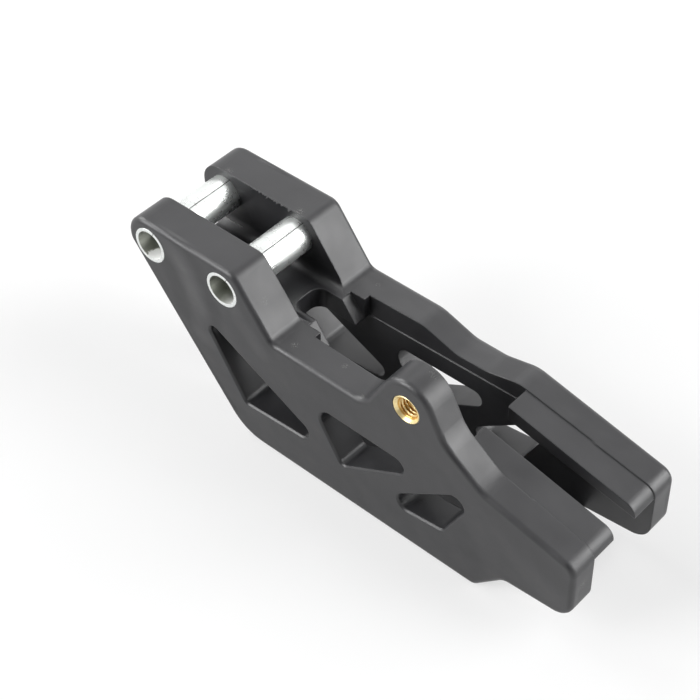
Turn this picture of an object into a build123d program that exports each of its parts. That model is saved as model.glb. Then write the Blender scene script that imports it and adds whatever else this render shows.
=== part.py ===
from build123d import *
import math
import os

# Motorcycle chain guide, in millimetres.
# X runs along the guide from its front ears to its tail, Y across it, and Z up.
# The origin lies on the front sleeve's axis, midway between the two side plates.
# The pieces are drawn with heights above the base plane and lowered to the origin at the end.
# One moulded body carries two pressed-in steel sleeves and one brass thread insert.

# Overall
width = 40.0                 # over both side plates, at the rear sleeve
splay = 0.3                  # opening of each outer face towards the tail, in degrees
edge_radius = 1.4            # rounding round the outer face of each plate
overlap = 1.0                # how far one form of the body runs into the next

# Levels, each one measured from the level below it
web_thickness = 9.2          # floor web that joins the plates along the base
channel_height = 24.8        # clear height of the chain's way through the body
roof_thickness = 6.4         # bridge between the plates
saddle_step = 1.1            # top edge of the plates above the bridge
sleeve_lift = 9.8            # sleeve axes above the bridge
ear_crown = 7.3              # top of the ears above the sleeve axes

# Ears
ear_thickness = 11.5
ear_nose = 8.0               # front corner ahead of the front sleeve's axis
ear_nose_drop = 8.6          # height of the short front edge
ear_heel = 4.4               # rear corner behind the rear sleeve's axis
ear_run = 12.2               # slope from the ear down to the saddle
ear_front_radius = 6.2
ear_rear_radius = 4.0
ear_foot_radius = 3.0
thick_length = 6.8           # ear thickness carried on past the start of the saddle

# Base
base_front = 30.4            # corner where the long front edge meets the base
base_length = 80.4
base_front_radius = 14.0
base_rear_radius = 3.0

# Saddle, the near plate's insert boss and the far plate's dip
saddle_length = 31.3
boss_wall = 4.4              # plastic round the insert
boss_reach = 13.9            # insert's axis behind the end of the saddle
boss_foot_radius = 6.0
insert_lift = 7.3            # insert's axis above the saddle
shoulder_reach = 12.0        # foot of the boss behind the insert's axis
shoulder_rise = 2.9          # that foot above the saddle
shoulder_run = 11.7          # from that foot down to the tail's top edge
shoulder_radius = 12.0
far_step = 0.6               # far saddle below the near one
far_slope_length = 11.0      # from the far saddle down to the dip
far_dip = 3.7                # below the far saddle
far_dip_length = 10.0
far_rise_length = 9.8        # from the dip up to the tail
far_radius = 10.0
far_tail_start = 2.3         # that rise's end ahead of the lips

# Tail, with two lips that close the channel over the chain
tail_length = 39.8           # from the lips' front ends to the end of the plates
tail_fall = 12.8             # slope of the top edge, in degrees
tail_rise = 4.9              # top edge above the ceiling at the lips' front ends
tail_depth = 19.1
tail_top_radius = 4.0
tail_bottom_radius = 5.5
rise_length = 9.0            # slope from the base up to the tail's lower edge
rise_height = 9.3
rise_radius = 5.0
lip_start = 10.6             # lips' front ends ahead of the base's rear corner
lip_gap = 8.7                # slot between the lips
lip_step = 0.3               # lips below and inside the plates' edges
lip_root_thickness = 4.3
lip_end_thickness = 3.2
lip_corner_radius = 0.6

# Channel, widening towards the tail
throat_width = 18.0          # at the front ends of the plates
mouth_width = 24.9           # at the tail
upper_relief = 0.3           # how much thinner the plates are above the ceiling's level

# Bridge from the front edge back, with an open-ended notch
roof_reach = 23.4            # rear end behind the rear sleeve's axis
roof_end_run = 4.7           # slope of the rear end
roof_fillet = 3.0            # blend from the bridge up to the ears
notch_width = 10.0
notch_length = 13.2
notch_radius = 3.3

# Sleeves and thread insert
sleeve_spacing = 26.2
sleeve_diameter = 10.5
sleeve_wall = 1.0
sleeve_chamfer = 0.3
insert_diameter = 8.4
insert_length = 8.0
insert_bore = 5.0            # core of the 6 mm thread
insert_chamfer = 0.5
press_clearance = 0.02       # radial, round the sleeves and the insert

# Truss windows through both plates: x, height and corner radius of each corner
front_window = [(17.3, 36.8, 1.8), (61.9, 14.3, 2.6), (32.2, 12.4, 2.0)]
middle_window = [(56.7, 29.2, 3.5), (94.3, 28.7, 2.7), (66.5, 12.6, 1.7)]
rear_window = [(78.0, 10.4, 2.8), (112.0, 35.3, 2.8), (100.2, 13.3, 2.0)]
window_break = 0.5           # chamfer round their outer rims
far_window_drop = 0.6        # far plate's windows below the near plate's

# Levels and stations that follow from the sizes above
ceiling = web_thickness + channel_height
roof_top = ceiling + roof_thickness
saddle_height = roof_top + saddle_step
sleeve_height = roof_top + sleeve_lift
ear_height = sleeve_height + ear_crown
ear_end = sleeve_spacing + ear_heel
saddle_front = ear_end + ear_run
saddle_rear = saddle_front + saddle_length
thick_end = saddle_front + thick_length
insert_x = saddle_rear + boss_reach
insert_height = saddle_height + insert_lift
shoulder_x = insert_x + shoulder_reach
base_rear = base_front + base_length
lip_x = base_rear - lip_start
tail_end = lip_x + tail_length
roof_rear = sleeve_spacing + roof_reach
ear_gap = width - 2 * ear_thickness
tall = 2 * ear_height


def tail_top(x):
    """Height of the plates' top edge along the tail."""
    return ceiling + tail_rise - (x - lip_x) * math.tan(math.radians(tail_fall))


def outer_y(x):
    """Distance of the near plate's outer face from the middle plane, as a Y value."""
    return -width / 2 - (x - sleeve_spacing) * math.tan(math.radians(splay))


def profile(corners):
    """Closed side outline from (x, height, corner radius) triples."""
    outline = make_face(Polyline([(x, z) for x, z, _ in corners], close=True))
    for x, z, radius in corners:
        if radius > 0:
            corner = outline.vertices().sort_by_distance((x, z))[0]
            outline = fillet(corner, radius)
    return outline


def across(outline, start, end):
    """Side outline made solid from Y = start to Y = end."""
    return extrude(Plane.XZ.offset(-start) * outline, start - end)


def plate_outline(saddle_level, top_edge):
    """Side outline of a plate: front ear, saddle, the given top edge, tail and base."""
    ear = [
        (-ear_nose, ear_height - ear_nose_drop, ear_rear_radius),
        (-ear_nose, ear_height, ear_front_radius),
        (ear_end, ear_height, ear_rear_radius),
        (saddle_front, saddle_level, ear_foot_radius),
    ]
    tail_bottom = tail_top(tail_end) - tail_depth
    tail = [
        (tail_end, tail_top(tail_end), tail_top_radius),
        (tail_end, tail_bottom, tail_bottom_radius),
        (base_rear + rise_length, rise_height, rise_radius),
        (base_rear, 0.0, base_rear_radius),
        (base_front, 0.0, base_front_radius),
    ]
    return profile(ear + top_edge + tail)


def near_outline():
    """The near plate's top edge rises to a boss round the thread insert."""
    foot = (saddle_rear, saddle_height)
    shoulder = (shoulder_x, saddle_height + shoulder_rise)
    shoulder_end = shoulder_x + shoulder_run
    plate = plate_outline(saddle_height, [
        (*foot, 0),
        (*shoulder, 0),
        (shoulder_end, tail_top(shoulder_end), shoulder_radius),
    ])
    crown = Pos(insert_x, insert_height) * Circle(insert_diameter / 2 + boss_wall)
    boss = make_hull([*crown.edges(), Line(foot, shoulder).edge()])
    outline = plate + boss
    for point, radius in ((foot, boss_foot_radius), (shoulder, shoulder_radius)):
        corner = outline.vertices().sort_by_distance(point)[0]
        outline = fillet(corner, radius)
    return outline


def far_outline():
    """The far plate's top edge dips behind its saddle and has no boss."""
    tail_x = lip_x - far_tail_start
    dip_rear = tail_x - far_rise_length
    dip_front = dip_rear - far_dip_length
    saddle = saddle_height - far_step
    dip = saddle - far_dip
    return plate_outline(saddle, [
        (dip_front - far_slope_length, saddle, far_radius),
        (dip_front, dip, far_radius),
        (dip_rear, dip, far_radius),
        (tail_x, tail_top(tail_x), far_radius),
    ])


def side_plate(outline, window_drop):
    """One plate on the near side: splayed outer face, windows and drafted inner face."""
    front, rear = -2 * ear_nose, 2 * tail_end
    plan = make_face(Polyline(
        [(front, outer_y(front)), (rear, outer_y(rear)), (rear, 0), (front, 0)], close=True
    ))
    plate = across(outline, -width, -width / 2 + ear_thickness) & extrude(plan, tall)
    outer_face = plate.faces().sort_by(Axis.Y)[0]
    plate = fillet(outer_face.edges(), edge_radius)
    for window in (front_window, middle_window, rear_window):
        plate -= across(Pos(0, -window_drop) * profile(window), -width, 0)
    pierced = [face for face in plate.faces() if face.inner_wires()]
    outer_face = min(pierced, key=lambda face: face.center().Y)
    rims = [edge for wire in outer_face.inner_wires() for edge in wire.edges()]
    plate = chamfer(rims, window_break)
    return plate - channel(0, 0, ceiling) - rear_channel()


def channel(relief, bottom, top):
    """The chain's way: its width grows steadily from the throat to the mouth."""
    throat = throat_width / 2 + relief
    mouth = mouth_width / 2 + relief
    front = -ear_nose
    plan = make_face(Polyline(
        [(front, -throat), (tail_end, -mouth), (tail_end, mouth), (front, throat)],
        close=True,
    ))
    return extrude(Pos(0, 0, bottom) * plan, top - bottom)


def rear_channel():
    """Above the ceiling's level the plates thin out behind the ears."""
    space = Pos(thick_end, 0, ceiling) * Box(
        tail_end, width, tall, align=(Align.MIN, Align.CENTER, Align.MIN)
    )
    return channel(upper_relief, ceiling, tall) & space


def floor_web(outline):
    """Web along the base, cut to the plates' outline."""
    level = Rectangle(4 * tail_end, 2 * web_thickness)
    return across(outline & level, -width / 2 + ear_thickness / 2, width / 2 - ear_thickness / 2)


def bridge(outline):
    """Bridge under the sleeves: blended up to both ears, notched and sloped at its rear."""
    front = -ear_nose
    wall_top = roof_top + roof_fillet
    section = Pos(0, (ceiling + wall_top) / 2) * Rectangle(ear_gap + 2 * overlap, wall_top - ceiling)
    hollow = Pos(0, roof_top + ear_height) * Rectangle(ear_gap, 2 * ear_height)
    hollow = fillet(hollow.vertices().group_by(Axis.Y)[0], roof_fillet)
    blank = extrude(Plane.YZ.offset(front) * (section - hollow), roof_rear - front)
    side = profile([
        (front, ceiling, 0),
        (front, wall_top, 0),
        (roof_rear - roof_end_run, wall_top, 0),
        (roof_rear - roof_end_run, roof_top, 0),
        (roof_rear, ceiling, 0),
    ])
    notch = Pos(roof_rear, 0) * Rectangle(2 * notch_length, notch_width)
    notch = fillet(notch.vertices().group_by(Axis.X)[0], notch_radius)
    blank -= extrude(notch, tall)
    return blank & across(side & outline, -width / 2, width / 2)


def lip():
    """Near lip: straight along the tail, a little below its top edge, and over the channel."""
    end_x = tail_end - lip_step
    top_front = tail_top(lip_x) - lip_step
    top_rear = tail_top(end_x) - lip_step
    side = profile([
        (lip_x, top_front - lip_root_thickness, 0),
        (lip_x, top_front, 0),
        (end_x, top_rear, tail_top_radius - lip_step),
        (end_x, top_rear - lip_end_thickness, 0),
    ])
    solid = across(side, -mouth_width / 2 - overlap, -lip_gap / 2)
    front_edge = solid.edges().filter_by(Axis.Z).group_by(Axis.X)[0].sort_by(Axis.Y)[-1]
    return fillet(front_edge, lip_corner_radius)


def across_hole(x, z, radius, start, end):
    """Round hole across the guide from Y = start to Y = end."""
    return across(Pos(x, z) * Circle(radius), start, end)


def guide_body():
    """The moulding: two plates, the floor web, the bridge and the lips, less its seats."""
    near_side = near_outline()
    far_side = far_outline()
    near_lip = lip()
    body = side_plate(near_side, 0) + mirror(side_plate(far_side, far_window_drop), Plane.XZ)
    body += floor_web(far_side)
    body += bridge(far_side)
    body += near_lip + mirror(near_lip, Plane.XZ)
    seat = sleeve_diameter / 2 + press_clearance
    for x in (0, sleeve_spacing):
        body -= across_hole(x, sleeve_height, seat, -width, width)
    pocket = insert_diameter / 2 + press_clearance
    body -= across_hole(insert_x, insert_height, pocket, -width, 0)
    return body


def bush(x, z, outer, bore, chamfer_size, start, end):
    """Turned tube across the guide with its bore chamfered at both ends."""
    tube = across(Pos(x, z) * (Circle(outer / 2) - Circle(bore / 2)), start, end)
    mouths = tube.edges().filter_by(GeomType.CIRCLE).group_by(SortBy.RADIUS)[0]
    return chamfer(mouths, chamfer_size)


def sleeve(x):
    """Rolled steel sleeve, flush with both ears, for one frame bolt."""
    bore = sleeve_diameter - 2 * sleeve_wall
    return bush(x, sleeve_height, sleeve_diameter, bore, sleeve_chamfer, -width / 2, width / 2)


def thread_insert():
    """Brass insert, flush with the near plate's outer face."""
    start = outer_y(insert_x)
    end = start + insert_length
    return bush(
        insert_x, insert_height, insert_diameter, insert_bore, insert_chamfer, start, end
    )


pieces = {
    "guide_body": guide_body(),
    "front_sleeve": sleeve(0),
    "rear_sleeve": sleeve(sleeve_spacing),
    "thread_insert": thread_insert(),
}

os.makedirs("parts", exist_ok=True)
for name, piece in pieces.items():
    placed = Pos(0, 0, -sleeve_height) * piece
    placed.label = name
    export_step(placed, f"parts/{name}.step")
    print(name, round(placed.volume), "mm3,", len(placed.solids()), "solid,", placed.is_valid)
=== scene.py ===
# %% [markdown]
# # A motorcycle chain guide
#
# The guide is one black moulding that carries two rolled steel sleeves and a small brass insert.
# Its shape was made in CAD, so this lesson loads that model and dresses it: a camera, a pale
# table, soft light, the finishes, and the fine pieces that a CAD model leaves plain.

import math
import random

import bpy
from mathutils import Matrix, Vector


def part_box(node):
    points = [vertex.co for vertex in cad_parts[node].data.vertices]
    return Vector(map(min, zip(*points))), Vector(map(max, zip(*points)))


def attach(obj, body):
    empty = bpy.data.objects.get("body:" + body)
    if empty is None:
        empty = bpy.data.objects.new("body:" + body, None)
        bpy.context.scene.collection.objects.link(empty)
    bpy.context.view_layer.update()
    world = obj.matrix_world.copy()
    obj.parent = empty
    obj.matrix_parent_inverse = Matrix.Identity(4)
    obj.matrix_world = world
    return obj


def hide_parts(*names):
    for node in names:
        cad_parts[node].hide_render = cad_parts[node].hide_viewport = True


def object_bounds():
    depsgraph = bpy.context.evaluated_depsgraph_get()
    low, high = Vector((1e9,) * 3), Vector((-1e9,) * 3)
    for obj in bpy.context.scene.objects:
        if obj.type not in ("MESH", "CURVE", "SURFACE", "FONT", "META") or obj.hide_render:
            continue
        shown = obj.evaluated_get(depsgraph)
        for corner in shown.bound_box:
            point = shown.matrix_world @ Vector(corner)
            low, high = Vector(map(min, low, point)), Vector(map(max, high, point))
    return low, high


MM = 0.001

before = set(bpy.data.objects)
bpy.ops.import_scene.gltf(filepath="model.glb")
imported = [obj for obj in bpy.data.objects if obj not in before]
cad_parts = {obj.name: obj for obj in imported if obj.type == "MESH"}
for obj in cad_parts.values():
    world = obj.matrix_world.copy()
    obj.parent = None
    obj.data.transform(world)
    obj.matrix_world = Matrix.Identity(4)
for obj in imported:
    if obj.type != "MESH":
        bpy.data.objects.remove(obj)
cad_low, cad_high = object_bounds()
bpy.ops.object.select_all(action="DESELECT")
print("nodes:", sorted(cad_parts))
print("box in mm:", [round((b - a) / MM, 1) for a, b in zip(cad_low, cad_high)])

# %% [markdown]
# ## The camera
#
# The photograph was taken from above the guide's rear right, with a fairly long lens. A camera
# could be placed by eye, but here its angles, distance and lens were worked out from the outlines
# of the plates, so the two pictures lie on each other. The camera and the lamps all stand at an
# angle round the guide and an angle up from level, and one function turns these into a vector.


# %% Turn two angles into a direction
def direction(azimuth, elevation):
    """The unit vector at an angle round from +X and an angle up from level, in degrees."""
    azimuth, elevation = math.radians(azimuth), math.radians(elevation)
    return Vector(
        (
            math.cos(azimuth) * math.cos(elevation),
            math.sin(azimuth) * math.cos(elevation),
            math.sin(elevation),
        )
    )


print("a quarter turn round from +X:", [round(v, 3) for v in direction(90.0, 0.0)])

# %% Place the camera
AIM = Vector((51.9, 0.0, -20.0)) * MM
AZIMUTH = -47.77
ELEVATION = 45.03
ROLL = math.radians(-1.11)
DISTANCE = 476.0 * MM
SENSOR_WIDTH = 36.0
FOCAL_PIXELS = 1819.0
PHOTO_PIXELS = 700

back = direction(AZIMUTH, ELEVATION)
level = direction(AZIMUTH + 90.0, 0.0)
upward = back.cross(level)
right = level * math.cos(ROLL) + upward * math.sin(ROLL)
up = upward * math.cos(ROLL) - level * math.sin(ROLL)
turn = Matrix((right, up, back)).transposed().to_4x4()

camera_data = bpy.data.cameras.new("photo_camera")
camera_data.sensor_width = SENSOR_WIDTH
camera_data.lens = FOCAL_PIXELS * SENSOR_WIDTH / PHOTO_PIXELS
camera_data.clip_start = 0.01
camera_data.clip_end = 20.0
camera = bpy.data.objects.new("photo_camera", camera_data)
camera.matrix_world = Matrix.Translation(AIM + back * DISTANCE) @ turn
bpy.context.scene.collection.objects.link(camera)
bpy.context.scene.camera = camera
print("lens:", round(camera_data.lens, 1), "mm")

# %% [markdown]
# ## Colours and nodes
#
# Colours are picked as a screen shows them, in hex, while the renderer works in linear light, so
# one function turns the one into the other. Every material below is a small network of nodes, and
# one more function adds a node with its settings and its links. It takes an input by its name,
# with _ for a space, or by its number after _ where several inputs share one name. So _6 and _7
# are the two colours of a Mix node, whose mixed colour is output 2.


# %% A colour function and a node function
def hex_colour(text):
    channels = [int(text[i : i + 2], 16) / 255 for i in (1, 3, 5)]
    linear = [c / 12.92 if c <= 0.04045 else ((c + 0.055) / 1.055) ** 2.4 for c in channels]
    return (*linear, 1.0)


def add_node(tree, kind, settings=None, **inputs):
    node = tree.nodes.new(kind)
    for name, value in (settings or {}).items():
        setattr(node, name, value)
    for name, value in inputs.items():
        key = int(name[1:]) if name[0] == "_" and name[1:].isdigit() else name.replace("_", " ")
        socket = node.inputs[key]
        if isinstance(value, bpy.types.NodeSocket):
            tree.links.new(value, socket)
        else:
            socket.default_value = value
    return node


WHITE = hex_colour("#ffffff")
print("middle grey as linear light:", [round(c, 3) for c in hex_colour("#808080")[:3]])


# %% Start a material, and dress a piece in it
def new_material(name):
    material = bpy.data.materials.new(name)
    material.use_nodes = True
    tree = material.node_tree
    tree.nodes.clear()
    return material, tree


def dress(piece, *materials):
    piece.data.materials.clear()
    for material in materials:
        piece.data.materials.append(material)


print("materials so far:", len(bpy.data.materials))

# %% [markdown]
# ## The table
#
# The guide lies on a sheet of white paper, and a large plane does for that. It sits at the lowest
# point of the CAD model, so the guide stands on it from any side.

# %% Lay the paper
PAPER_SIZE = 6.0
PAPER_MIDDLE = 0.05

bpy.ops.mesh.primitive_plane_add(size=PAPER_SIZE, location=(PAPER_MIDDLE, 0.0, cad_low.z))
paper = bpy.context.object
paper.name = "paper"
bpy.ops.object.select_all(action="DESELECT")
print("paper at", round(cad_low.z / MM, 1), "mm")

# %% [markdown]
# Lamps strong enough to make the paper as white as in the photograph would burn out the sleeves.
# So the lamps stay low, and a share of the paper's white is a glow that only the camera and
# mirroring metal see. A Light Path node tells those apart from the light on the guide. The rest is
# matte paper a little under pure white, and the guide's shadow shows on it.

# %% Make the paper
GLOW_SHARE = 0.58


def seen_directly(tree):
    """1 for what the camera sees, and what metal and glass mirror, and 0 for light on the guide."""
    path = add_node(tree, "ShaderNodeLightPath")
    seen = path.outputs["Is Camera Ray"]
    for mirrored in ("Is Glossy Ray", "Is Transmission Ray"):
        seen = add_node(
            tree,
            "ShaderNodeMath",
            {"operation": "MAXIMUM"},
            _0=seen,
            _1=path.outputs[mirrored],
        ).outputs["Value"]
    return seen


paper_white, tree = new_material("white_paper_matte")
paper_shader = add_node(
    tree, "ShaderNodeBsdfDiffuse", Color=hex_colour("#f4f4f4"), Roughness=1.0
)
paper_glow = add_node(tree, "ShaderNodeEmission", Color=WHITE, Strength=1.0)
glow_seen = add_node(
    tree,
    "ShaderNodeMath",
    {"operation": "MULTIPLY"},
    _0=seen_directly(tree),
    _1=GLOW_SHARE,
)
paper_mix = add_node(
    tree,
    "ShaderNodeMixShader",
    _0=glow_seen.outputs["Value"],
    _1=paper_shader.outputs["BSDF"],
    _2=paper_glow.outputs["Emission"],
)
add_node(tree, "ShaderNodeOutputMaterial", Surface=paper_mix.outputs["Shader"])
dress(paper, paper_white)
print("share of glow in the paper:", GLOW_SHARE)

# %% [markdown]
# ## The light
#
# The photograph has the even light of a light tent that is open on the viewer's side, with a
# strong soft lamp low behind on the right: the slopes that face it are the brightest. A pale world
# is what the guide mirrors, with a soft dark patch for the open side of the tent. It gives the
# guide hardly any light.

# %% Hang the tent
TENT_STRENGTH = 0.08
OPEN_SIDE = Vector((0.25, -0.85, 0.33)).normalized()
OPEN_SIDE_LEVEL = 0.12
# cosines of the angles from the open side at which its patch ends and is full
PATCH_END = 0.74
PATCH_FULL = 0.93

world = bpy.data.worlds.new("light_tent")
world.use_nodes = True
bpy.context.scene.world = world
tree = world.node_tree
tree.nodes.clear()
looking = add_node(tree, "ShaderNodeTexCoord").outputs["Generated"]
towards_open_side = add_node(
    tree,
    "ShaderNodeVectorMath",
    {"operation": "DOT_PRODUCT"},
    _0=looking,
    _1=OPEN_SIDE,
)
tent_white = add_node(
    tree,
    "ShaderNodeMapRange",
    {"interpolation_type": "SMOOTHSTEP"},
    Value=towards_open_side.outputs["Value"],
    From_Min=PATCH_END,
    From_Max=PATCH_FULL,
    To_Min=1.0,
    To_Max=OPEN_SIDE_LEVEL,
)
tent_level = add_node(
    tree,
    "ShaderNodeMix",
    {"data_type": "FLOAT"},
    Factor=seen_directly(tree),
    _2=TENT_STRENGTH,
    _3=tent_white.outputs["Result"],
)
tent = add_node(
    tree, "ShaderNodeBackground", Color=WHITE, Strength=tent_level.outputs["Result"]
)
add_node(tree, "ShaderNodeOutputWorld", Surface=tent.outputs["Background"])
print("open side of the tent towards", [round(v, 2) for v in OPEN_SIDE])

# %% [markdown]
# Five soft boxes give the light. Their watts were found by rendering each one alone and comparing
# the sum of the pictures with the photograph.

# %% Set up the soft boxes
BOX_DISTANCE = 1.0
BOX_SIZE = 0.6

# name, azimuth and elevation in degrees, and watts
soft_boxes = [
    ("soft_box_right_low", 33.0, 15.0, 5.4),
    ("soft_box_right_high", 33.0, 38.0, 5.7),
    ("soft_box_behind", 110.0, 32.0, 2.4),
    ("soft_box_left", 185.0, 35.0, 6.6),
    ("soft_box_front", -125.0, 30.0, 8.6),
]
for name, azimuth, elevation, watts in soft_boxes:
    lamp = bpy.data.lights.new(name, "AREA")
    lamp.shape = "SQUARE"
    lamp.size = BOX_SIZE
    lamp.energy = watts
    towards = direction(azimuth, elevation)
    soft_box = bpy.data.objects.new(name, lamp)
    soft_box.location = AIM + towards * BOX_DISTANCE
    soft_box.rotation_mode = "QUATERNION"
    soft_box.rotation_quaternion = towards.to_track_quat("Z", "Y")
    bpy.context.scene.collection.objects.link(soft_box)
bpy.context.scene.view_settings.view_transform = "Standard"

# %% [markdown]
# ## The black plastic
#
# The body is glass-filled nylon, moulded in one shot and coloured right through. It comes out of a
# fine satin tool, so the eye sees a dark grey sheen with no mirror images, a faint grain, and slow
# clouds where the material flowed. The tool's grain is about 0.1 mm, too fine for this picture, so
# a noise of 0.4 mm stands for it. A wide noise gives the clouds.

# %% Start the plastic
GRAIN_SIZE = 0.4 * MM
CLOUD_SIZE = 14.0 * MM

nylon, tree = new_material("nylon_moulded_satin_black")
place = add_node(tree, "ShaderNodeTexCoord").outputs["Object"]
clouds = add_node(
    tree,
    "ShaderNodeTexNoise",
    Vector=place,
    Scale=1.0 / CLOUD_SIZE,
    Detail=3.0,
    Roughness=0.5,
)
grain = add_node(
    tree,
    "ShaderNodeTexNoise",
    Vector=place,
    Scale=1.0 / GRAIN_SIZE,
    Detail=2.0,
    Roughness=0.6,
)
print("grain", GRAIN_SIZE / MM, "mm, clouds", CLOUD_SIZE / MM, "mm")

# %% [markdown]
# ## The soft forms of its sides
#
# The outer faces aren't dead flat. Shallow ridges and hollows, a few tenths of a millimetre high,
# run down them from the ears and along the tail, so they are drawn in the bump of the plastic and
# not in the mesh. Each one is a soft line: vector nodes find the gap to the nearest point of a
# straight run, and the line fades out as the gap grows. More marks further on fade with a gap, so
# a function does that. The soft forms measure their gaps in x and z alone, on a place without y.

# %% Fade a mark with the gap to it
WITHOUT_Y = Vector((1.0, 0.0, 1.0))


def add_mark(tree, marks, gap, full, gone, strength=1.0, fading="SMOOTHSTEP"):
    """Adds a mark that is full up to one gap and gone past another; the stronger mark counts."""
    mark = add_node(
        tree,
        "ShaderNodeMapRange",
        {"interpolation_type": fading},
        Value=gap,
        From_Min=full,
        From_Max=gone,
        To_Min=strength,
        To_Max=0.0,
    )
    stronger = add_node(
        tree,
        "ShaderNodeMath",
        {"operation": "MAXIMUM"},
        _0=mark.outputs["Result"],
        _1=marks,
    )
    return stronger.outputs["Value"]


flat = add_node(
    tree,
    "ShaderNodeVectorMath",
    {"operation": "MULTIPLY"},
    _0=place,
    _1=WITHOUT_Y,
).outputs["Vector"]
print("nodes in the plastic so far:", len(tree.nodes))


# %% Draw soft lines across the sides
def soft_line(tree, flat, points, half_width):
    """1 on the line through the points, given as x and z in mm, and 0 beyond its half width."""
    line = 0.0
    for (x, z), (next_x, next_z) in zip(points, points[1:]):
        start = Vector((x, 0.0, z)) * MM
        run = Vector((next_x - x, 0.0, next_z - z)) * MM
        from_start = add_node(
            tree, "ShaderNodeVectorMath", {"operation": "SUBTRACT"}, _0=flat, _1=start
        )
        along = add_node(
            tree,
            "ShaderNodeVectorMath",
            {"operation": "DOT_PRODUCT"},
            _0=from_start.outputs["Vector"],
            _1=run / run.length_squared,
        )
        share = add_node(
            tree,
            "ShaderNodeMath",
            {"operation": "ADD", "use_clamp": True},
            _0=along.outputs["Value"],
            _1=0.0,
        )
        nearest = add_node(
            tree,
            "ShaderNodeVectorMath",
            {"operation": "SCALE"},
            _0=run,
            Scale=share.outputs["Value"],
        )
        gap = add_node(
            tree,
            "ShaderNodeVectorMath",
            {"operation": "DISTANCE"},
            _0=from_start.outputs["Vector"],
            _1=nearest.outputs["Vector"],
        )
        line = add_mark(tree, line, gap.outputs["Value"], full=0.0, gone=half_width)
    return line


# points in x and z, half width and height of each soft form, in mm
soft_forms = [
    # the ridge that runs down between the sleeves, and the hollow ahead of it
    ([(6.6, 7.5), (14.9, 0.2), (16.9, -5.7), (19.2, -11.4), (19.2, -18.7)], 7.0, 0.45),
    ([(9.4, -0.3), (12.4, -6.6), (14.5, -14.0)], 8.0, -0.45),
    # the ridge under the rear sleeve
    ([(31.0, -0.5), (34.1, -5.6), (39.7, -11.0)], 6.0, 0.30),
    # the crease across the tail, and the ridge behind it
    ([(107.9, -28.9), (111.3, -35.8), (115.5, -43.4)], 7.0, -0.16),
    ([(114.3, -21.8), (123.6, -25.0), (136.0, -30.7)], 8.0, 0.22),
    # the rim along the front edge
    ([(-1.0, -12.0), (26.0, -44.0)], 3.0, 0.18),
]
height = 0.0
for points, half_width, rise in soft_forms:
    line = soft_line(tree, flat, points, half_width * MM)
    height = add_node(
        tree,
        "ShaderNodeMath",
        {"operation": "MULTIPLY_ADD"},
        _0=line,
        _1=rise,
        _2=height,
    ).outputs["Value"]
print("soft forms:", len(soft_forms))

# %% [markdown]
# The same lines would also show on the inner faces, because they only know x and z. A mask keeps
# them to the outer faces: it opens between 17.5 and 19.2 mm from the middle plane. No edge of a
# moulding is truly sharp either, and a Bevel node rounds the shading of each by half a millimetre.

# %% Keep the soft forms to the outer faces
SIDE_START = 17.5 * MM
SIDE_FULL = 19.2 * MM
EDGE_ROUND = 0.5 * MM

sideways = add_node(tree, "ShaderNodeSeparateXYZ", Vector=place)
from_middle = add_node(
    tree, "ShaderNodeMath", {"operation": "ABSOLUTE"}, _0=sideways.outputs["Y"]
)
outside = add_node(
    tree,
    "ShaderNodeMapRange",
    {"interpolation_type": "SMOOTHSTEP"},
    Value=from_middle.outputs["Value"],
    From_Min=SIDE_START,
    From_Max=SIDE_FULL,
)
side_height = add_node(
    tree,
    "ShaderNodeMath",
    {"operation": "MULTIPLY"},
    _0=height,
    _1=outside.outputs["Result"],
)
soft_edges = add_node(tree, "ShaderNodeBevel", {"samples": 6}, Radius=EDGE_ROUND)
# the height is in mm, so a height of 1 stands 1 mm proud
side_relief = add_node(
    tree,
    "ShaderNodeBump",
    Strength=1.0,
    Distance=1.0 * MM,
    Height=side_height.outputs["Value"],
    Normal=soft_edges.outputs["Normal"],
)
print("the mask opens at", SIDE_START / MM, "mm")

# %% [markdown]
# Thick plastic sinks a little as it cools, which leaves slow waves all over it, and the tool's
# grain lies on top of them. Each Bump node takes the normal of the one before it.

# %% Add the sink waves and the grain
SINK_SIZE = 9.0 * MM
SINK_HEIGHT = 0.25 * MM
GRAIN_HEIGHT = 0.02 * MM

waves = add_node(
    tree, "ShaderNodeTexNoise", Vector=place, Scale=1.0 / SINK_SIZE, Detail=1.5
)
sink_relief = add_node(
    tree,
    "ShaderNodeBump",
    Strength=1.0,
    Distance=SINK_HEIGHT,
    Height=waves.outputs["Fac"],
    Normal=side_relief.outputs["Normal"],
)
relief = add_node(
    tree,
    "ShaderNodeBump",
    Strength=0.35,
    Distance=GRAIN_HEIGHT,
    Height=grain.outputs["Fac"],
    Normal=sink_relief.outputs["Normal"],
)
print("sink marks", SINK_SIZE / MM, "mm across")

# %% [markdown]
# Handling has rubbed a few pale scuffs into it, on the ears, the saddle, the boss and the tail.
# Each is a soft ball round one point, and a fine noise breaks it up into specks.

# %% Rub the scuffs
SCUFF_GRAIN = 0.35 * MM
# levels of the noise at which a speck starts and is full
SPECK_START = 0.53
SPECK_FULL = 0.64

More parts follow.
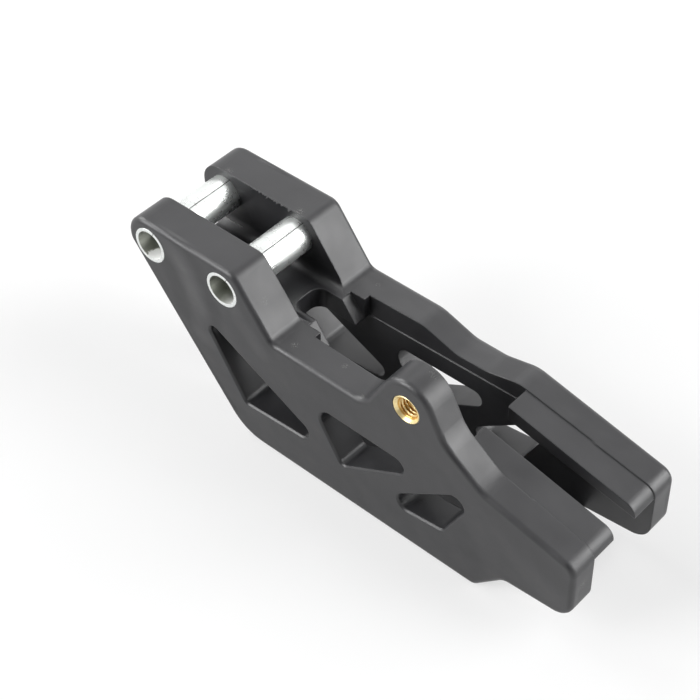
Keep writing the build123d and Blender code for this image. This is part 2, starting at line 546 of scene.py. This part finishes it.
# centre x, y and z, and radius, in mm
scuffs = [
    ((0.8, 9.6, 7.3), 1.8),
    ((26.4, 9.3, 7.3), 2.2),
    ((25.7, -20.0, 8.0), 1.6),
    ((38.0, -15.0, 0.0), 2.2),
    ((47.7, -16.1, -8.7), 1.5),
    ((62.3, -13.4, -8.7), 1.3),
    ((72.7, -18.5, -8.2), 1.3),
    ((90.0, -13.0, 5.5), 2.6),
    ((103.0, -18.0, -9.8), 1.6),
    ((48.7, 15.0, -9.3), 0.9),
    ((102.4, 20.0, -12.5), 1.4),
    ((140.0, -16.5, -28.8), 2.4),
]
rubbed = 0.0
for centre, radius in scuffs:
    gap = add_node(
        tree,
        "ShaderNodeVectorMath",
        {"operation": "DISTANCE"},
        _0=place,
        _1=Vector(centre) * MM,
    )
    rubbed = add_mark(tree, rubbed, gap.outputs["Value"], full=0.0, gone=radius * MM)
breaks = add_node(
    tree,
    "ShaderNodeTexNoise",
    Vector=place,
    Scale=1.0 / SCUFF_GRAIN,
    Detail=4.0,
    Roughness=0.7,
)
specks = add_node(
    tree,
    "ShaderNodeMapRange",
    Value=breaks.outputs["Fac"],
    From_Min=SPECK_START,
    From_Max=SPECK_FULL,
)
scuffed = add_node(
    tree,
    "ShaderNodeMath",
    {"operation": "MULTIPLY"},
    _0=rubbed,
    _1=specks.outputs["Result"],
)
print("scuffs:", len(scuffs))

# %% Colour the plastic and dress the body
NYLON_IOR = 1.53
# levels between which most of a noise lies
NOISE_LOW = 0.3
NOISE_HIGH = 0.7

clean_tint = add_node(
    tree,
    "ShaderNodeMix",
    {"data_type": "RGBA"},
    Factor=clouds.outputs["Fac"],
    _6=hex_colour("#222224"),
    _7=hex_colour("#2f2f31"),
)
tint = add_node(
    tree,
    "ShaderNodeMix",
    {"data_type": "RGBA"},
    Factor=scuffed.outputs["Value"],
    _6=clean_tint.outputs[2],
    _7=hex_colour("#8c8c88"),
)
sheen = add_node(
    tree,
    "ShaderNodeMapRange",
    Value=clouds.outputs["Fac"],
    From_Min=NOISE_LOW,
    From_Max=NOISE_HIGH,
    To_Min=0.32,
    To_Max=0.47,
)
plastic = add_node(
    tree,
    "ShaderNodeBsdfPrincipled",
    Base_Color=tint.outputs[2],
    Roughness=sheen.outputs["Result"],
    IOR=NYLON_IOR,
    Normal=relief.outputs["Normal"],
)
add_node(tree, "ShaderNodeOutputMaterial", Surface=plastic.outputs["BSDF"])
dress(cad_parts["guide_body"], nylon)
print("nodes in the plastic:", len(tree.nodes))

# %% [markdown]
# ## Flash
#
# Where the halves of a mould meet, a little plastic squeezes out as a thin ragged fin, called
# flash. One runs along the far ear's inner top edge. A finer fin lies where the bridge meets that
# ear, in a pale grey that is a painted highlight for the bright thin line there. Each is a grid one
# cell wide. Its free edge is pushed out by a different amount at each step, which edit mode has no
# tool for, so its points are set in code, with a fixed seed that makes them the same each time.
# Solidify gives the fin its thickness.

# %% Grow a fin of flash
FLASH_THICKNESS = 0.12 * MM
TOOTH_WIDTH = 0.35


def single_out(piece):
    """Selects the piece alone and makes it the active one."""
    bpy.ops.object.select_all(action="DESELECT")
    piece.select_set(True)
    bpy.context.view_layer.objects.active = piece


def apply_modifiers(piece):
    single_out(piece)
    for modifier in list(piece.modifiers):
        bpy.ops.object.modifier_apply(modifier=modifier.name)
    bpy.ops.object.select_all(action="DESELECT")


def add_flash(name, start, length, outward, reaches, seed, material):
    """A fin that runs along x from its start, with teeth of many reaches, all in mm."""
    chance = random.Random(seed)
    steps = int(length / TOOTH_WIDTH)
    bpy.ops.object.select_all(action="DESELECT")
    bpy.ops.mesh.primitive_grid_add(x_subdivisions=steps, y_subdivisions=1, size=1.0)
    fin = bpy.context.object
    fin.name = name
    start, outward = Vector(start), Vector(outward).normalized()
    for vertex in fin.data.vertices:
        along = Vector((length * (vertex.co.x + 0.5), 0.0, 0.0))
        tooth = chance.random() ** 2
        reach = reaches[0] + (reaches[1] - reaches[0]) * tooth if vertex.co.y > 0 else 0.0
        vertex.co = (start + along + outward * reach) * MM
    wall = fin.modifiers.new("wall", "SOLIDIFY")
    wall.thickness = FLASH_THICKNESS
    wall.offset = 0.0
    apply_modifiers(fin)
    dress(fin, material)
    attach(fin, "root")
    print(name, len(fin.data.polygons), "faces")


add_flash(
    "flash_far_ear",
    start=(10.8, 8.7, 7.2),
    length=13.6,
    outward=(0.0, -1.0, 0.0),
    reaches=(0.25, 1.3),
    seed=4,
    material=nylon,
)

# %% [markdown]
# The fin on the bridge has a pale material of its own. Its pale grey is a painted highlight that
# gives the bright thin line where the bridge meets the far ear.

# %% Grow the pale fin
# the pale grey of this fin is a painted highlight
highlight_nylon, tree = new_material("nylon_flash_painted_highlight")
highlight_shader = add_node(
    tree,
    "ShaderNodeBsdfPrincipled",
    Base_Color=hex_colour("#8c8c8a"),
    Roughness=0.45,
    IOR=NYLON_IOR,
)
add_node(tree, "ShaderNodeOutputMaterial", Surface=highlight_shader.outputs["BSDF"])
add_flash(
    "flash_bridge_painted_highlight",
    start=(-1.3, 8.05, -8.6),
    length=7.6,
    outward=(0.0, -0.8, 0.6),
    reaches=(0.35, 0.55),
    seed=7,
    material=highlight_nylon,
)

# %% [markdown]
# ## Bright zinc
#
# The sleeves are mild steel under bright zinc plate. Zinc is a white metal whose thin plating keeps
# the fine lines of the rolled strip, so reflections are soft and a little drawn out along them. The
# colour stays near white with a slight green-grey bloom. The real lines are too fine for this
# picture, so they are drawn 0.25 mm wide. A noise whose place is squeezed along the sleeve gives
# them, and the streaks of the bare steel too.

# %% Roll the lines into the zinc
LINE_WIDTH = 0.25 * MM
LINE_HEIGHT = 0.07 * MM


def rolled_lines(tree, place, width, squeeze, detail):
    """A noise of lines that lie along y, each one width across."""
    squeezed = add_node(
        tree, "ShaderNodeMapping", Vector=place, Scale=(1.0, squeeze, 1.0)
    )
    lines = add_node(
        tree,
        "ShaderNodeTexNoise",
        Vector=squeezed.outputs["Vector"],
        Scale=1.0 / width,
        Detail=detail,
    )
    return lines.outputs["Fac"]


zinc, tree = new_material("steel_rolled_bright_zinc")
place = add_node(tree, "ShaderNodeTexCoord").outputs["Object"]
zinc_relief = add_node(
    tree,
    "ShaderNodeBump",
    Strength=1.0,
    Distance=LINE_HEIGHT,
    Height=rolled_lines(tree, place, LINE_WIDTH, squeeze=0.06, detail=3.0),
)
print("rolling lines", LINE_WIDTH / MM, "mm")

# %% Colour the zinc
BLOOM_SIZE = 2.5 * MM

bloom = add_node(
    tree, "ShaderNodeTexNoise", Vector=place, Scale=1.0 / BLOOM_SIZE, Detail=4.0
)
zinc_tint = add_node(
    tree,
    "ShaderNodeMix",
    {"data_type": "RGBA"},
    Factor=bloom.outputs["Fac"],
    _6=hex_colour("#eef0ef"),
    _7=hex_colour("#dce0dd"),
)
zinc_gloss = add_node(
    tree,
    "ShaderNodeMapRange",
    Value=bloom.outputs["Fac"],
    From_Min=NOISE_LOW,
    From_Max=NOISE_HIGH,
    To_Min=0.22,
    To_Max=0.38,
)
zinc_shader = add_node(
    tree,
    "ShaderNodeBsdfPrincipled",
    Base_Color=zinc_tint.outputs[2],
    Metallic=0.8,
    Roughness=zinc_gloss.outputs["Result"],
    Normal=zinc_relief.outputs["Normal"],
)
add_node(tree, "ShaderNodeOutputMaterial", Surface=zinc_shader.outputs["BSDF"])
print("bloom", BLOOM_SIZE / MM, "mm across")

# %% [markdown]
# Plating baths hardly reach inside a narrow tube, so the bore keeps the grey of the bare strip,
# duller and darker than the outside.

# %% Start the bare steel of the bores
STREAK_WIDTH = 0.8 * MM

bore_steel_and_painted_light, tree = new_material("steel_bare_grey_and_painted_light")
place = add_node(tree, "ShaderNodeTexCoord").outputs["Object"]
bare_tint = add_node(
    tree,
    "ShaderNodeMix",
    {"data_type": "RGBA"},
    Factor=rolled_lines(tree, place, STREAK_WIDTH, squeeze=0.1, detail=2.0),
    _6=hex_colour("#8f918a"),
    _7=hex_colour("#a9aba3"),
)
print("streaks", STREAK_WIDTH / MM, "mm wide")

# %% [markdown]
# On the floor of each near mouth, where light falls into the bore, a pale patch with a ragged
# edge is painted light: full white in the front sleeve's mouth and fainter in the rear one's. Each
# patch is a ball round a point of the bore's wall, and a noise frays its edge.

# %% Paint light on the floors of the mouths
FRAY_SIZE = 0.9 * MM
FRAY_REACH = 1.6 * MM

# centre x, y and z, reach and softness of the edge, in mm, and how white the painted light is
painted_light_patches = [
    ((2.9, -18.9, -3.1), 5.7, 0.3, 1.0),
    ((29.2, -18.6, -3.0), 5.6, 3.8, 0.75),
]
fray = add_node(
    tree, "ShaderNodeTexNoise", Vector=place, Scale=1.0 / FRAY_SIZE, Detail=3.0
)
painted_light_share = 0.0
for centre, reach, softness, whiteness in painted_light_patches:
    gap = add_node(
        tree,
        "ShaderNodeVectorMath",
        {"operation": "DISTANCE"},
        _0=place,
        _1=Vector(centre) * MM,
    )
    frayed = add_node(
        tree,
        "ShaderNodeMath",
        {"operation": "MULTIPLY_ADD"},
        _0=fray.outputs["Fac"],
        _1=FRAY_REACH,
        _2=gap.outputs["Value"],
    )
    painted_light_share = add_mark(
        tree,
        painted_light_share,
        frayed.outputs["Value"],
        full=(reach - softness) * MM,
        gone=reach * MM,
        strength=whiteness,
        fading="LINEAR",
    )
print("deposits:", len(painted_light_patches))

# %% [markdown]
# The painted light is matte and not like a mirror, so the whiter it is, the less metallic it is.

# %% Colour the bores
BARE_METALLIC = 0.85
PAINTED_LIGHT_METALLIC = 0.1

# the painted light of the mouth floors is mixed into the bore's grey here
mouth_tint = add_node(
    tree,
    "ShaderNodeMix",
    {"data_type": "RGBA"},
    Factor=painted_light_share,
    _6=bare_tint.outputs[2],
    _7=hex_colour("#f4f5f3"),
)
mirror_share = add_node(
    tree,
    "ShaderNodeMapRange",
    Value=painted_light_share,
    To_Min=BARE_METALLIC,
    To_Max=PAINTED_LIGHT_METALLIC,
)
bare_shader = add_node(
    tree,
    "ShaderNodeBsdfPrincipled",
    Base_Color=mouth_tint.outputs[2],
    Metallic=mirror_share.outputs["Result"],
    Roughness=0.32,
)
add_node(tree, "ShaderNodeOutputMaterial", Surface=bare_shader.outputs["BSDF"])
print("nodes in the bare steel:", len(tree.nodes))

# %% [markdown]
# Where the strip was cut, its edges get a darker grey steel. They face each other in the seam, so
# this painted shade makes the seam read as a thin dark line.

# %% Make the sheared edges
seam_shade_steel, tree = new_material("steel_sheared_painted_shade")
seam_shade_shader = add_node(
    tree,
    "ShaderNodeBsdfPrincipled",
    Base_Color=hex_colour("#83847f"),
    Metallic=0.5,
    Roughness=0.55,
)
add_node(tree, "ShaderNodeOutputMaterial", Surface=seam_shade_shader.outputs["BSDF"])
print("materials so far:", len(bpy.data.materials))

# %% [markdown]
# ## The rolled sleeves
#
# Each sleeve is a strip of steel rolled into a tube, so a narrow butt seam runs along it, which
# the CAD model's plain tube doesn't have. An open cylinder with one narrow face taken out is that
# rolled strip. It is settled first, which puts its place into its mesh, so that the patterns lie
# right on it. Then the face nearest the seam's angle is selected in edit mode and deleted.

# %% Roll a strip and leave its seam open
STRIP_FACES = 160


def settle(piece):
    """Puts the piece's place into its mesh, so that its object sits at the origin."""
    single_out(piece)
    bpy.ops.object.transform_apply(location=True, rotation=True, scale=True)
    bpy.ops.object.select_all(action="DESELECT")


def select_faces(piece, choose):
    """Opens the piece in edit mode with only the chosen faces selected."""
    single_out(piece)
    bpy.context.tool_settings.mesh_select_mode = (False, False, True)
    chosen = [choose(face) for face in piece.data.polygons]
    for part in (*piece.data.vertices, *piece.data.edges, *piece.data.polygons):
        part.select = False
    for face, wanted in zip(piece.data.polygons, chosen):
        face.select = wanted
    bpy.ops.object.mode_set(mode="EDIT")


def roll_strip(name, low, high, seam_angle):
    """A tube without thickness that fills the box, open at the seam's angle in degrees."""
    middle = (low + high) / 2
    bpy.ops.object.select_all(action="DESELECT")
    bpy.ops.mesh.primitive_cylinder_add(
        vertices=STRIP_FACES,
        radius=(high.z - low.z) / 2,
        depth=high.y - low.y,
        end_fill_type="NOTHING",
        location=middle,
        rotation=(math.pi / 2, 0.0, 0.0),
    )
    strip = bpy.context.object
    strip.name = name
    settle(strip)

    def seam_distance(face):
        towards = face.center - middle
        return abs(math.atan2(towards.z, towards.x) - math.radians(seam_angle))

    seam_face = min(strip.data.polygons, key=seam_distance).index
    select_faces(strip, lambda face: face.index == seam_face)
    bpy.ops.mesh.delete(type="FACE")
    bpy.ops.object.mode_set(mode="OBJECT")
    return strip


print("sleeves to roll:", [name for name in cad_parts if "sleeve" in name])

# %% [markdown]
# Solidify gives the strip its wall, with the bore in its own material, and a bevel breaks the
# edges of the rims, where the light catches. The faces that look neither along the sleeve nor in
# or out are the strip's sheared edges, which get the darker steel as painted shade in the seam.

# %% Give each strip its wall
SLEEVE_WALL = 1.0 * MM
RIM_BREAK = 0.12 * MM
BORE_SLOT = 1
SEAM_SHADE_SLOT = 2
# how far the normal of a sheared edge may lean along the sleeve, and in or out
LEAN_ALONG = 0.1
LEAN_OUT = 0.5


def smooth(piece, angle):
    """Shades the piece smooth, but for edges that turn by more than the angle in degrees."""
    single_out(piece)
    bpy.ops.object.shade_smooth_by_angle(angle=math.radians(angle))
    bpy.ops.object.select_all(action="DESELECT")


def roll_sleeve(node, seam_angle):
    low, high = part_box(node)
    sleeve = roll_strip("rolled_" + node, low, high, seam_angle)
    dress(sleeve, zinc, bore_steel_and_painted_light, seam_shade_steel)
    wall = sleeve.modifiers.new("wall", "SOLIDIFY")
    wall.thickness = SLEEVE_WALL
    wall.offset = -1.0
    wall.use_even_offset = True
    wall.material_offset = BORE_SLOT
    edge_break = sleeve.modifiers.new("edge_break", "BEVEL")
    edge_break.width = RIM_BREAK
    edge_break.segments = 2
    edge_break.limit_method = "ANGLE"
    edge_break.angle_limit = math.radians(50.0)
    apply_modifiers(sleeve)
    middle = (low + high) / 2
    # the sheared edges take the darker steel: painted shade in the seam
    for face in sleeve.data.polygons:
        outward = ((face.center - middle) * WITHOUT_Y).normalized()
        if abs(face.normal.y) < LEAN_ALONG and abs(face.normal.dot(outward)) < LEAN_OUT:
            face.material_index = SEAM_SHADE_SLOT
    smooth(sleeve, angle=35.0)
    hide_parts(node)
    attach(sleeve, "root")
    print(sleeve.name, len(sleeve.data.polygons), "faces")


roll_sleeve("front_sleeve", seam_angle=70.0)
roll_sleeve("rear_sleeve", seam_angle=66.0)

# %% [markdown]
# ## Turned brass
#
# The insert is free-cutting brass, turned and tapped in one chucking. Fresh turned brass is a pale
# yellow gold. Where it mirrors itself, as in the bottom of a thread, it looks deep orange, and that
# is painted in as painted shade and painted reflection: the colour follows the distance from the
# insert's axis, so that the roots of the thread are darker and redder than its crests. Taking the
# insert's middle from each place puts that axis at zero.

# %% Find the distance from the insert's axis
insert_low, insert_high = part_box("thread_insert")
insert_middle = (insert_low + insert_high) / 2
insert_length = insert_high.y - insert_low.y
insert_radius = (insert_high.z - insert_low.z) / 2

brass, tree = new_material("brass_turned_bright")
place = add_node(tree, "ShaderNodeTexCoord").outputs["Object"]
from_insert = add_node(
    tree, "ShaderNodeVectorMath", {"operation": "SUBTRACT"}, _0=place, _1=insert_middle
)
across_axis = add_node(
    tree,
    "ShaderNodeVectorMath",
    {"operation": "MULTIPLY"},
    _0=from_insert.outputs["Vector"],
    _1=WITHOUT_Y,
)
axis_distance = add_node(
    tree,
    "ShaderNodeVectorMath",
    {"operation": "LENGTH"},
    _0=across_axis.outputs["Vector"],
).outputs["Value"]
print("insert:", round(2 * insert_radius / MM, 2), "by", round(insert_length / MM, 2), "mm")

# %% Find the roots of the thread
CORE_RADIUS = 2.5 * MM
ROOT_RADIUS = 3.1 * MM
# radii at which the painted shade of the roots starts and is full, and by which it has gone again
DEEP_START = CORE_RADIUS + 0.12 * MM
DEEP_FULL = ROOT_RADIUS - 0.1 * MM
DEEP_GONE = ROOT_RADIUS + 0.2 * MM

deep = add_node(
    tree,
    "ShaderNodeMapRange",
    Value=axis_distance,
    From_Min=DEEP_START,
    From_Max=DEEP_FULL,
)
in_bore = add_node(
    tree,
    "ShaderNodeMapRange",
    Value=axis_distance,
    From_Min=ROOT_RADIUS,
    From_Max=DEEP_GONE,
    To_Min=1.0,
    To_Max=0.0,
)
root_painted_shade = add_node(
    tree,
    "ShaderNodeMath",
    {"operation": "MULTIPLY"},
    _0=deep.outputs["Result"],
    _1=in_bore.outputs["Result"],
)
print("thread from", CORE_RADIUS / MM, "to", ROOT_RADIUS / MM, "mm from the axis")

# %% [markdown]
# The marks of the lathe are about 0.1 mm apart. They are drawn 0.5 mm wide, so that they show.

# %% Colour the brass
TOOL_MARK_SIZE = 0.5 * MM
TOOL_MARK_HEIGHT = 0.01 * MM

tool_marks = add_node(
    tree, "ShaderNodeTexNoise", Vector=place, Scale=1.0 / TOOL_MARK_SIZE, Detail=3.0
)
bright_tint = add_node(
    tree,
    "ShaderNodeMix",
    {"data_type": "RGBA"},
    Factor=tool_marks.outputs["Fac"],
    _6=hex_colour("#f4e4b2"),
    _7=hex_colour("#ead294"),
)
# the roots of the thread are painted darker and redder: painted shade and painted reflection
brass_tint = add_node(
    tree,
    "ShaderNodeMix",
    {"data_type": "RGBA"},
    Factor=root_painted_shade.outputs["Value"],
    _6=bright_tint.outputs[2],
    _7=hex_colour("#c49440"),
)
brass_relief = add_node(
    tree,
    "ShaderNodeBump",
    Strength=0.3,
    Distance=TOOL_MARK_HEIGHT,
    Height=tool_marks.outputs["Fac"],
)
brass_shader = add_node(
    tree,
    "ShaderNodeBsdfPrincipled",
    Base_Color=brass_tint.outputs[2],
    Metallic=0.62,
    Roughness=0.30,
    Normal=brass_relief.outputs["Normal"],
)
add_node(tree, "ShaderNodeOutputMaterial", Surface=brass_shader.outputs["BSDF"])
print("nodes in the brass:", len(tree.nodes))

# %% [markdown]
# ## The tapped insert
#
# The CAD insert is a plain bushing. The real one is countersunk and tapped with a 6 mm thread, and
# three or four of its crests show. The Screw modifier could sweep a V along a helix, but its ends
# would then need trimming and closing. Here one ring is extruded up the bore in many small steps,
# out over the end, down the outside and back to where it began.

# %% Extrude the bush from one ring
MOUTH_RADIUS = 3.85 * MM
OUTSIDE_BREAK = 0.2 * MM
BORE_STEPS = 96
RING_POINTS = 72

# radius and height of each ring
rings = [(MOUTH_RADIUS, insert_length * i / BORE_STEPS) for i in range(BORE_STEPS + 1)] + [
    (insert_radius - OUTSIDE_BREAK, insert_length),
    (insert_radius, insert_length - OUTSIDE_BREAK),
    (insert_radius, OUTSIDE_BREAK),
    (insert_radius - OUTSIDE_BREAK, 0.0),
    (MOUTH_RADIUS, 0.0),
]
bpy.ops.object.select_all(action="DESELECT")
bpy.ops.mesh.primitive_circle_add(vertices=RING_POINTS, radius=MOUTH_RADIUS)
insert = bpy.context.object
insert.name = "tapped_insert"
bpy.ops.object.mode_set(mode="EDIT")
bpy.ops.mesh.select_mode(type="VERT")
bpy.ops.mesh.select_all(action="SELECT")
for (radius, rise), (next_radius, next_rise) in zip(rings, rings[1:]):
    bpy.ops.mesh.extrude_region_move(
        TRANSFORM_OT_translate={"value": (0.0, 0.0, next_rise - rise)}
    )
    grow = next_radius / radius
    bpy.ops.transform.resize(value=(grow, grow, 1.0))
bpy.ops.mesh.select_all(action="SELECT")
bpy.ops.mesh.remove_doubles(threshold=0.001 * MM)
bpy.ops.mesh.normals_make_consistent(inside=False)
bpy.ops.object.mode_set(mode="OBJECT")
print("plain bush:", len(insert.data.polygons), "faces")

# %% [markdown]
# The bore is still as wide as its mouth. Each of its points now moves in to the thread, whose depth
# depends only on the height and the angle, or to the 45 degree countersink, whichever is wider.
# Where the two meet, the crests run out as they do on the real insert.

# %% Cut the thread
PITCH = 1.0 * MM
# the flat of a crest and the flank beside it, as shares of half a pitch
CREST_FLAT = 0.18
FLANK = 0.64
TINY = 0.005 * MM


def thread_depth(angle, rise):
    """0 on a crest and 1 at a root of the helix."""
    turn = (rise / PITCH - angle / (2 * math.pi)) % 1.0
    from_crest = abs(2 * turn - 1)
    return min(1.0, max(0.0, (from_crest - CREST_FLAT) / FLANK))


for vertex in insert.data.vertices:
    radius = math.hypot(vertex.co.x, vertex.co.y)
    from_end = min(vertex.co.z, insert_length - vertex.co.z)
    if radius > MOUTH_RADIUS + TINY or from_end < TINY:
        continue
    depth = thread_depth(math.atan2(vertex.co.y, vertex.co.x), vertex.co.z)
    thread_radius = CORE_RADIUS + (ROOT_RADIUS - CORE_RADIUS) * depth
    shrink = max(thread_radius, MOUTH_RADIUS - from_end) / radius
    vertex.co.x *= shrink
    vertex.co.y *= shrink
print("turns of thread:", round(insert_length / PITCH, 1))

# %% [markdown]
# The insert was built upright at the origin. Its mesh is turned to lie along the boss and moved
# there, and it takes the place of the plain bushing.

# %% Put the insert in its boss
insert.data.transform(
    Matrix.Translation((insert_middle.x, insert_low.y, insert_middle.z))
    @ Matrix.Rotation(-math.pi / 2, 4, "X")
)
smooth(insert, angle=30.0)
dress(insert, brass)
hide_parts("thread_insert")
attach(insert, "root")
print("tapped insert:", len(insert.data.polygons), "faces")
